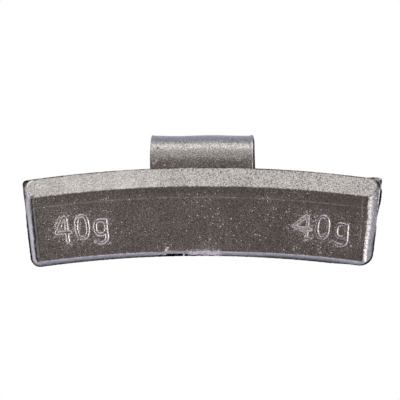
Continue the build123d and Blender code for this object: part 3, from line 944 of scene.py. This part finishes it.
def coat(name, grain_size, grain_depth, gloss_range, flake_colours, shade_and_grime_colour, shade_and_grime_gloss):
    """Silvery coating: flakes and pores, scattered specks painted bright as glints, dark pits, and the wear,
    painted shade and painted highlights kept at the points.
    """
    material, tree = new_material(name)
    place = {"Vector": add(tree, "ShaderNodeTexCoord").outputs["Object"]}
    scale = 1 / (grain_size * MM)
    grain = add(tree, "ShaderNodeTexNoise", place, {"Scale": scale, "Detail": 2.0, "Roughness": 0.6})
    flake = add(tree, "ShaderNodeTexNoise", place, {"Scale": 4200.0, "Detail": 1.0, "Roughness": 0.5})
    cloud = add(tree, "ShaderNodeTexNoise", place, {"Scale": 300.0, "Detail": 3.0, "Roughness": 0.6})
    glitter = add(tree, "ShaderNodeTexNoise", place, {"Scale": 6600.0, "Detail": 0.0})
    pores = add(tree, "ShaderNodeTexVoronoi", place, {"Scale": 2400.0})
    points = add(tree, "ShaderNodeTexVoronoi", place, {"Scale": 2400.0})
    grime_and_shade, bare_and_highlight, coarse, sparkle, pitting = (
        add(tree, "ShaderNodeAttribute", attribute_name=key).outputs["Fac"]
        for key in ("grime_and_shade", "bare_and_highlight", "coarse", "sparkle", "pitting"))

    # Scattered points: in each cell of a pattern, a chance of a speck, raised a little and painted bright as a
    # glint, and of a dark pit
    point = ramp(tree, points.outputs["Distance"], (0.13, 0.27), (1.0, 0.0))
    chance = add(tree, "ShaderNodeSeparateColor", {0: points.outputs["Color"]}).outputs
    bright = calculate(tree, "MULTIPLY_ADD", sparkle, BRIGHT_CHANCE, chance[0])
    bright = remapped(tree, bright, from_min=0.97, from_max=1.13)
    bright = calculate(tree, "MULTIPLY", bright, point)
    bright = calculate(tree, "MULTIPLY", bright, sparkle, clamp=True)
    dark = ramp(tree, chance[1], (0.72, 0.85), (0.0, 1.0))
    dark = calculate(tree, "MULTIPLY", dark, point)
    dark = calculate(tree, "MULTIPLY", dark, pitting)
    bare_and_highlight = calculate(tree, "MAXIMUM", bare_and_highlight, bright)
    grime_and_shade = calculate(tree, "MAXIMUM", grime_and_shade, dark)

    flakes = ramp(tree, flake.outputs["Fac"], (0.34, 0.5, 0.66), flake_colours)
    pore = ramp(tree, pores.outputs["Distance"], (0.24, 0.39), (PORE_DEPTH, 0.0))
    pore = calculate(tree, "MULTIPLY", pore, coarse, clamp=True)
    glint = ramp(tree, glitter.outputs["Fac"], (0.60, 0.69), (0.0, 1.0))
    glint = calculate(tree, "MULTIPLY", glint, sparkle)
    colour = mixed(tree, pore, flakes, PORE_COLOUR)
    colour = mixed(tree, glint, colour, GLINT_COLOUR)
    colour = mixed(tree, bare_and_highlight, colour, BARE_AND_HIGHLIGHT_COLOUR)
    # Grime and painted shade darken the colour towards the given dark colour
    colour = mixed(tree, grime_and_shade, colour, shade_and_grime_colour)
    gloss = ramp(tree, cloud.outputs["Fac"], (0.3, 0.7), gloss_range)
    gloss = mixed(tree, bare_and_highlight, gloss, grey(BARE_AND_HIGHLIGHT_GLOSS))
    gloss = mixed(tree, grime_and_shade, gloss, grey(shade_and_grime_gloss))
    strength = calculate(tree, "MINIMUM", coarse, GRAIN_STRENGTH_MOST)
    bump = add(tree, "ShaderNodeBump", {"Height": grain.outputs["Fac"], "Strength": strength},
               {"Distance": grain_depth * MM})
    bump = add(tree, "ShaderNodeBump", {"Height": bright, "Normal": bump.outputs["Normal"]},
               {"Strength": 1.0, "Distance": BRIGHT_HEIGHT * MM})
    metal = remapped(tree, bare_and_highlight, to_min=1.0, to_max=0.4)
    shader = add(tree, "ShaderNodeBsdfPrincipled", {
        "Base Color": colour, "Roughness": gloss, "Normal": bump.outputs["Normal"], "Metallic": metal})
    add(tree, "ShaderNodeOutputMaterial", {"Surface": shader.outputs["BSDF"]})
    return material


def dress(piece, material, node):
    piece.data.materials.append(material)
    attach(piece, "root")
    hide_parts(node)


dress(mesh_piece("weight_casting", *build_casting()),
      coat("coated_lead_finish", grain_size=0.26, grain_depth=0.085, gloss_range=(0.30, 0.40),
           flake_colours=((0.25, 0.245, 0.24), (0.33, 0.325, 0.315), (0.43, 0.42, 0.41)),
           shade_and_grime_colour=(0.02, 0.02, 0.025), shade_and_grime_gloss=0.5),
      "weight_body")
dress(mesh_piece("spring_clip", *build_clip()),
      coat("coated_steel_finish", grain_size=0.17, grain_depth=0.04, gloss_range=(0.22, 0.29),
           flake_colours=((0.22, 0.215, 0.215), (0.29, 0.287, 0.287), (0.38, 0.377, 0.38)),
           shade_and_grime_colour=(0.022, 0.021, 0.024), shade_and_grime_gloss=0.85),
      "rim_clip")

# Stage: a pale floor and a white backdrop behind it, in metres
FLOOR_Z = -0.12
FLOOR_FRONT = -0.15
WALL_Y = 0.30
WALL_TOP = 1.3
REACH = 3.0
MIRRORED_LOW, MIRRORED_HIGH = (0.84, 0.82, 1.0), (0.67, 0.66, 0.80)


def stage_finish(name, share):
    """Pale surface, white to what reflects it, of which this share is plain white to the camera."""
    material, tree = new_material(name)
    path = add(tree, "ShaderNodeLightPath").outputs
    seen = calculate(tree, "MULTIPLY_ADD", path["Is Camera Ray"], share, path["Is Glossy Ray"])
    seen = calculate(tree, "ADD", seen, path["Is Transmission Ray"], clamp=True)
    place = add(tree, "ShaderNodeSeparateXYZ", {0: add(tree, "ShaderNodeTexCoord").outputs["Object"]})
    fade = remapped(tree, place.outputs["Z"], from_min=0.0, from_max=0.4)
    mirrored = mixed(tree, fade, MIRRORED_LOW, MIRRORED_HIGH)
    tint = mixed(tree, path["Is Glossy Ray"], grey(1.0), mirrored)
    plain = add(tree, "ShaderNodeBsdfDiffuse", sockets={"Color": (0.8, 0.8, 0.8, 1)})
    glow = add(tree, "ShaderNodeEmission", {"Color": tint}, {"Strength": 1.0})
    mix = add(tree, "ShaderNodeMixShader", {0: seen, 1: plain.outputs[0], 2: glow.outputs[0]})
    add(tree, "ShaderNodeOutputMaterial", {"Surface": mix.outputs[0]})
    return material


def stage_plane(name, near_edge, far_edge, material):
    """Plane between two edges along X, each given by its y and z."""
    corners = [(-REACH, *near_edge), (REACH, *near_edge), (REACH, *far_edge), (-REACH, *far_edge)]
    mesh = bpy.data.meshes.new(name)
    mesh.from_pydata(corners, [], [(0, 1, 2, 3)])
    mesh.materials.append(material)
    new_object(name, mesh)


stage_plane("floor", (FLOOR_FRONT, FLOOR_Z), (WALL_Y, FLOOR_Z), stage_finish("pale_floor", 0.8))
stage_plane("backdrop", (WALL_Y, FLOOR_Z), (WALL_Y, WALL_TOP), stage_finish("white_backdrop", 1.0))

# Light: lamps in metres and watts, each a name, place, aim, width, depth, power and colour
SOFTBOXES = (
    ("overhead", (0.05, -0.005, 0.35), (0.05, -0.005, 0), 0.5, 0.12, 0.49, (1.0, 0.97, 0.94)),
    ("ceiling", (0, -0.19, 0.33), (0, -0.008, 0), 0.6, 0.22, 0.30, (1.0, 0.98, 0.91)),
    ("right", (0.34, -0.085, 0.02), (0.02, -0.008, 0), 0.36, 0.22, 0.62, (1.0, 0.95, 0.90)),
    ("left", (-0.315, -0.075, 0.0), (-0.02, -0.009, 0), 0.14, 0.2, 0.225, (1.0, 0.96, 0.98)),
    ("front_fill", (-0.22, -0.40, 0.18), (0.0, -0.008, 0), 0.6, 0.3, 0.1, (1.0, 0.95, 0.92)),
    ("left_rear", (-0.30, 0.10, 0.0), (-0.02, -0.008, 0), 0.2, 0.2, 0.185, (0.92, 0.90, 1.0)),
)

world = bpy.data.worlds.new("studio")
scene.world = world
world.use_nodes = True
background = world.node_tree.nodes["Background"]
background.inputs["Color"].default_value = (0.30, 0.246, 0.224, 1)
background.inputs["Strength"].default_value = 0.69

for name, place, aim, width, depth, power, colour in SOFTBOXES:
    lamp = bpy.data.lights.new(name, "AREA")
    lamp.shape = "RECTANGLE"
    lamp.size, lamp.size_y = width, depth
    lamp.energy = power
    lamp.color = colour
    holder = new_object(name, lamp)
    holder.location = place
    holder.rotation_euler = (Vector(aim) - Vector(place)).to_track_quat("-Z", "Y").to_euler()

# Camera at the photograph's viewing angle, in metres
TARGET = Vector((-0.00015, -0.0064, -0.00453))
AZIMUTH = math.radians(2.8)
DISTANCE = 0.228
ROLL = math.radians(-0.1)

camera_data = bpy.data.cameras.new("camera")
camera_data.sensor_width = 36.0
camera_data.lens = 127.3
camera_data.clip_start = 0.01
camera = new_object("camera", camera_data)
camera.location = TARGET + DISTANCE * Vector((math.sin(AZIMUTH), -math.cos(AZIMUTH), 0))
aim = (TARGET - camera.location).to_track_quat("-Z", "Y")
camera.rotation_euler = (aim @ Quaternion((0, 0, 1), ROLL)).to_euler()
scene.camera = camera
scene.view_settings.view_transform = "Standard"
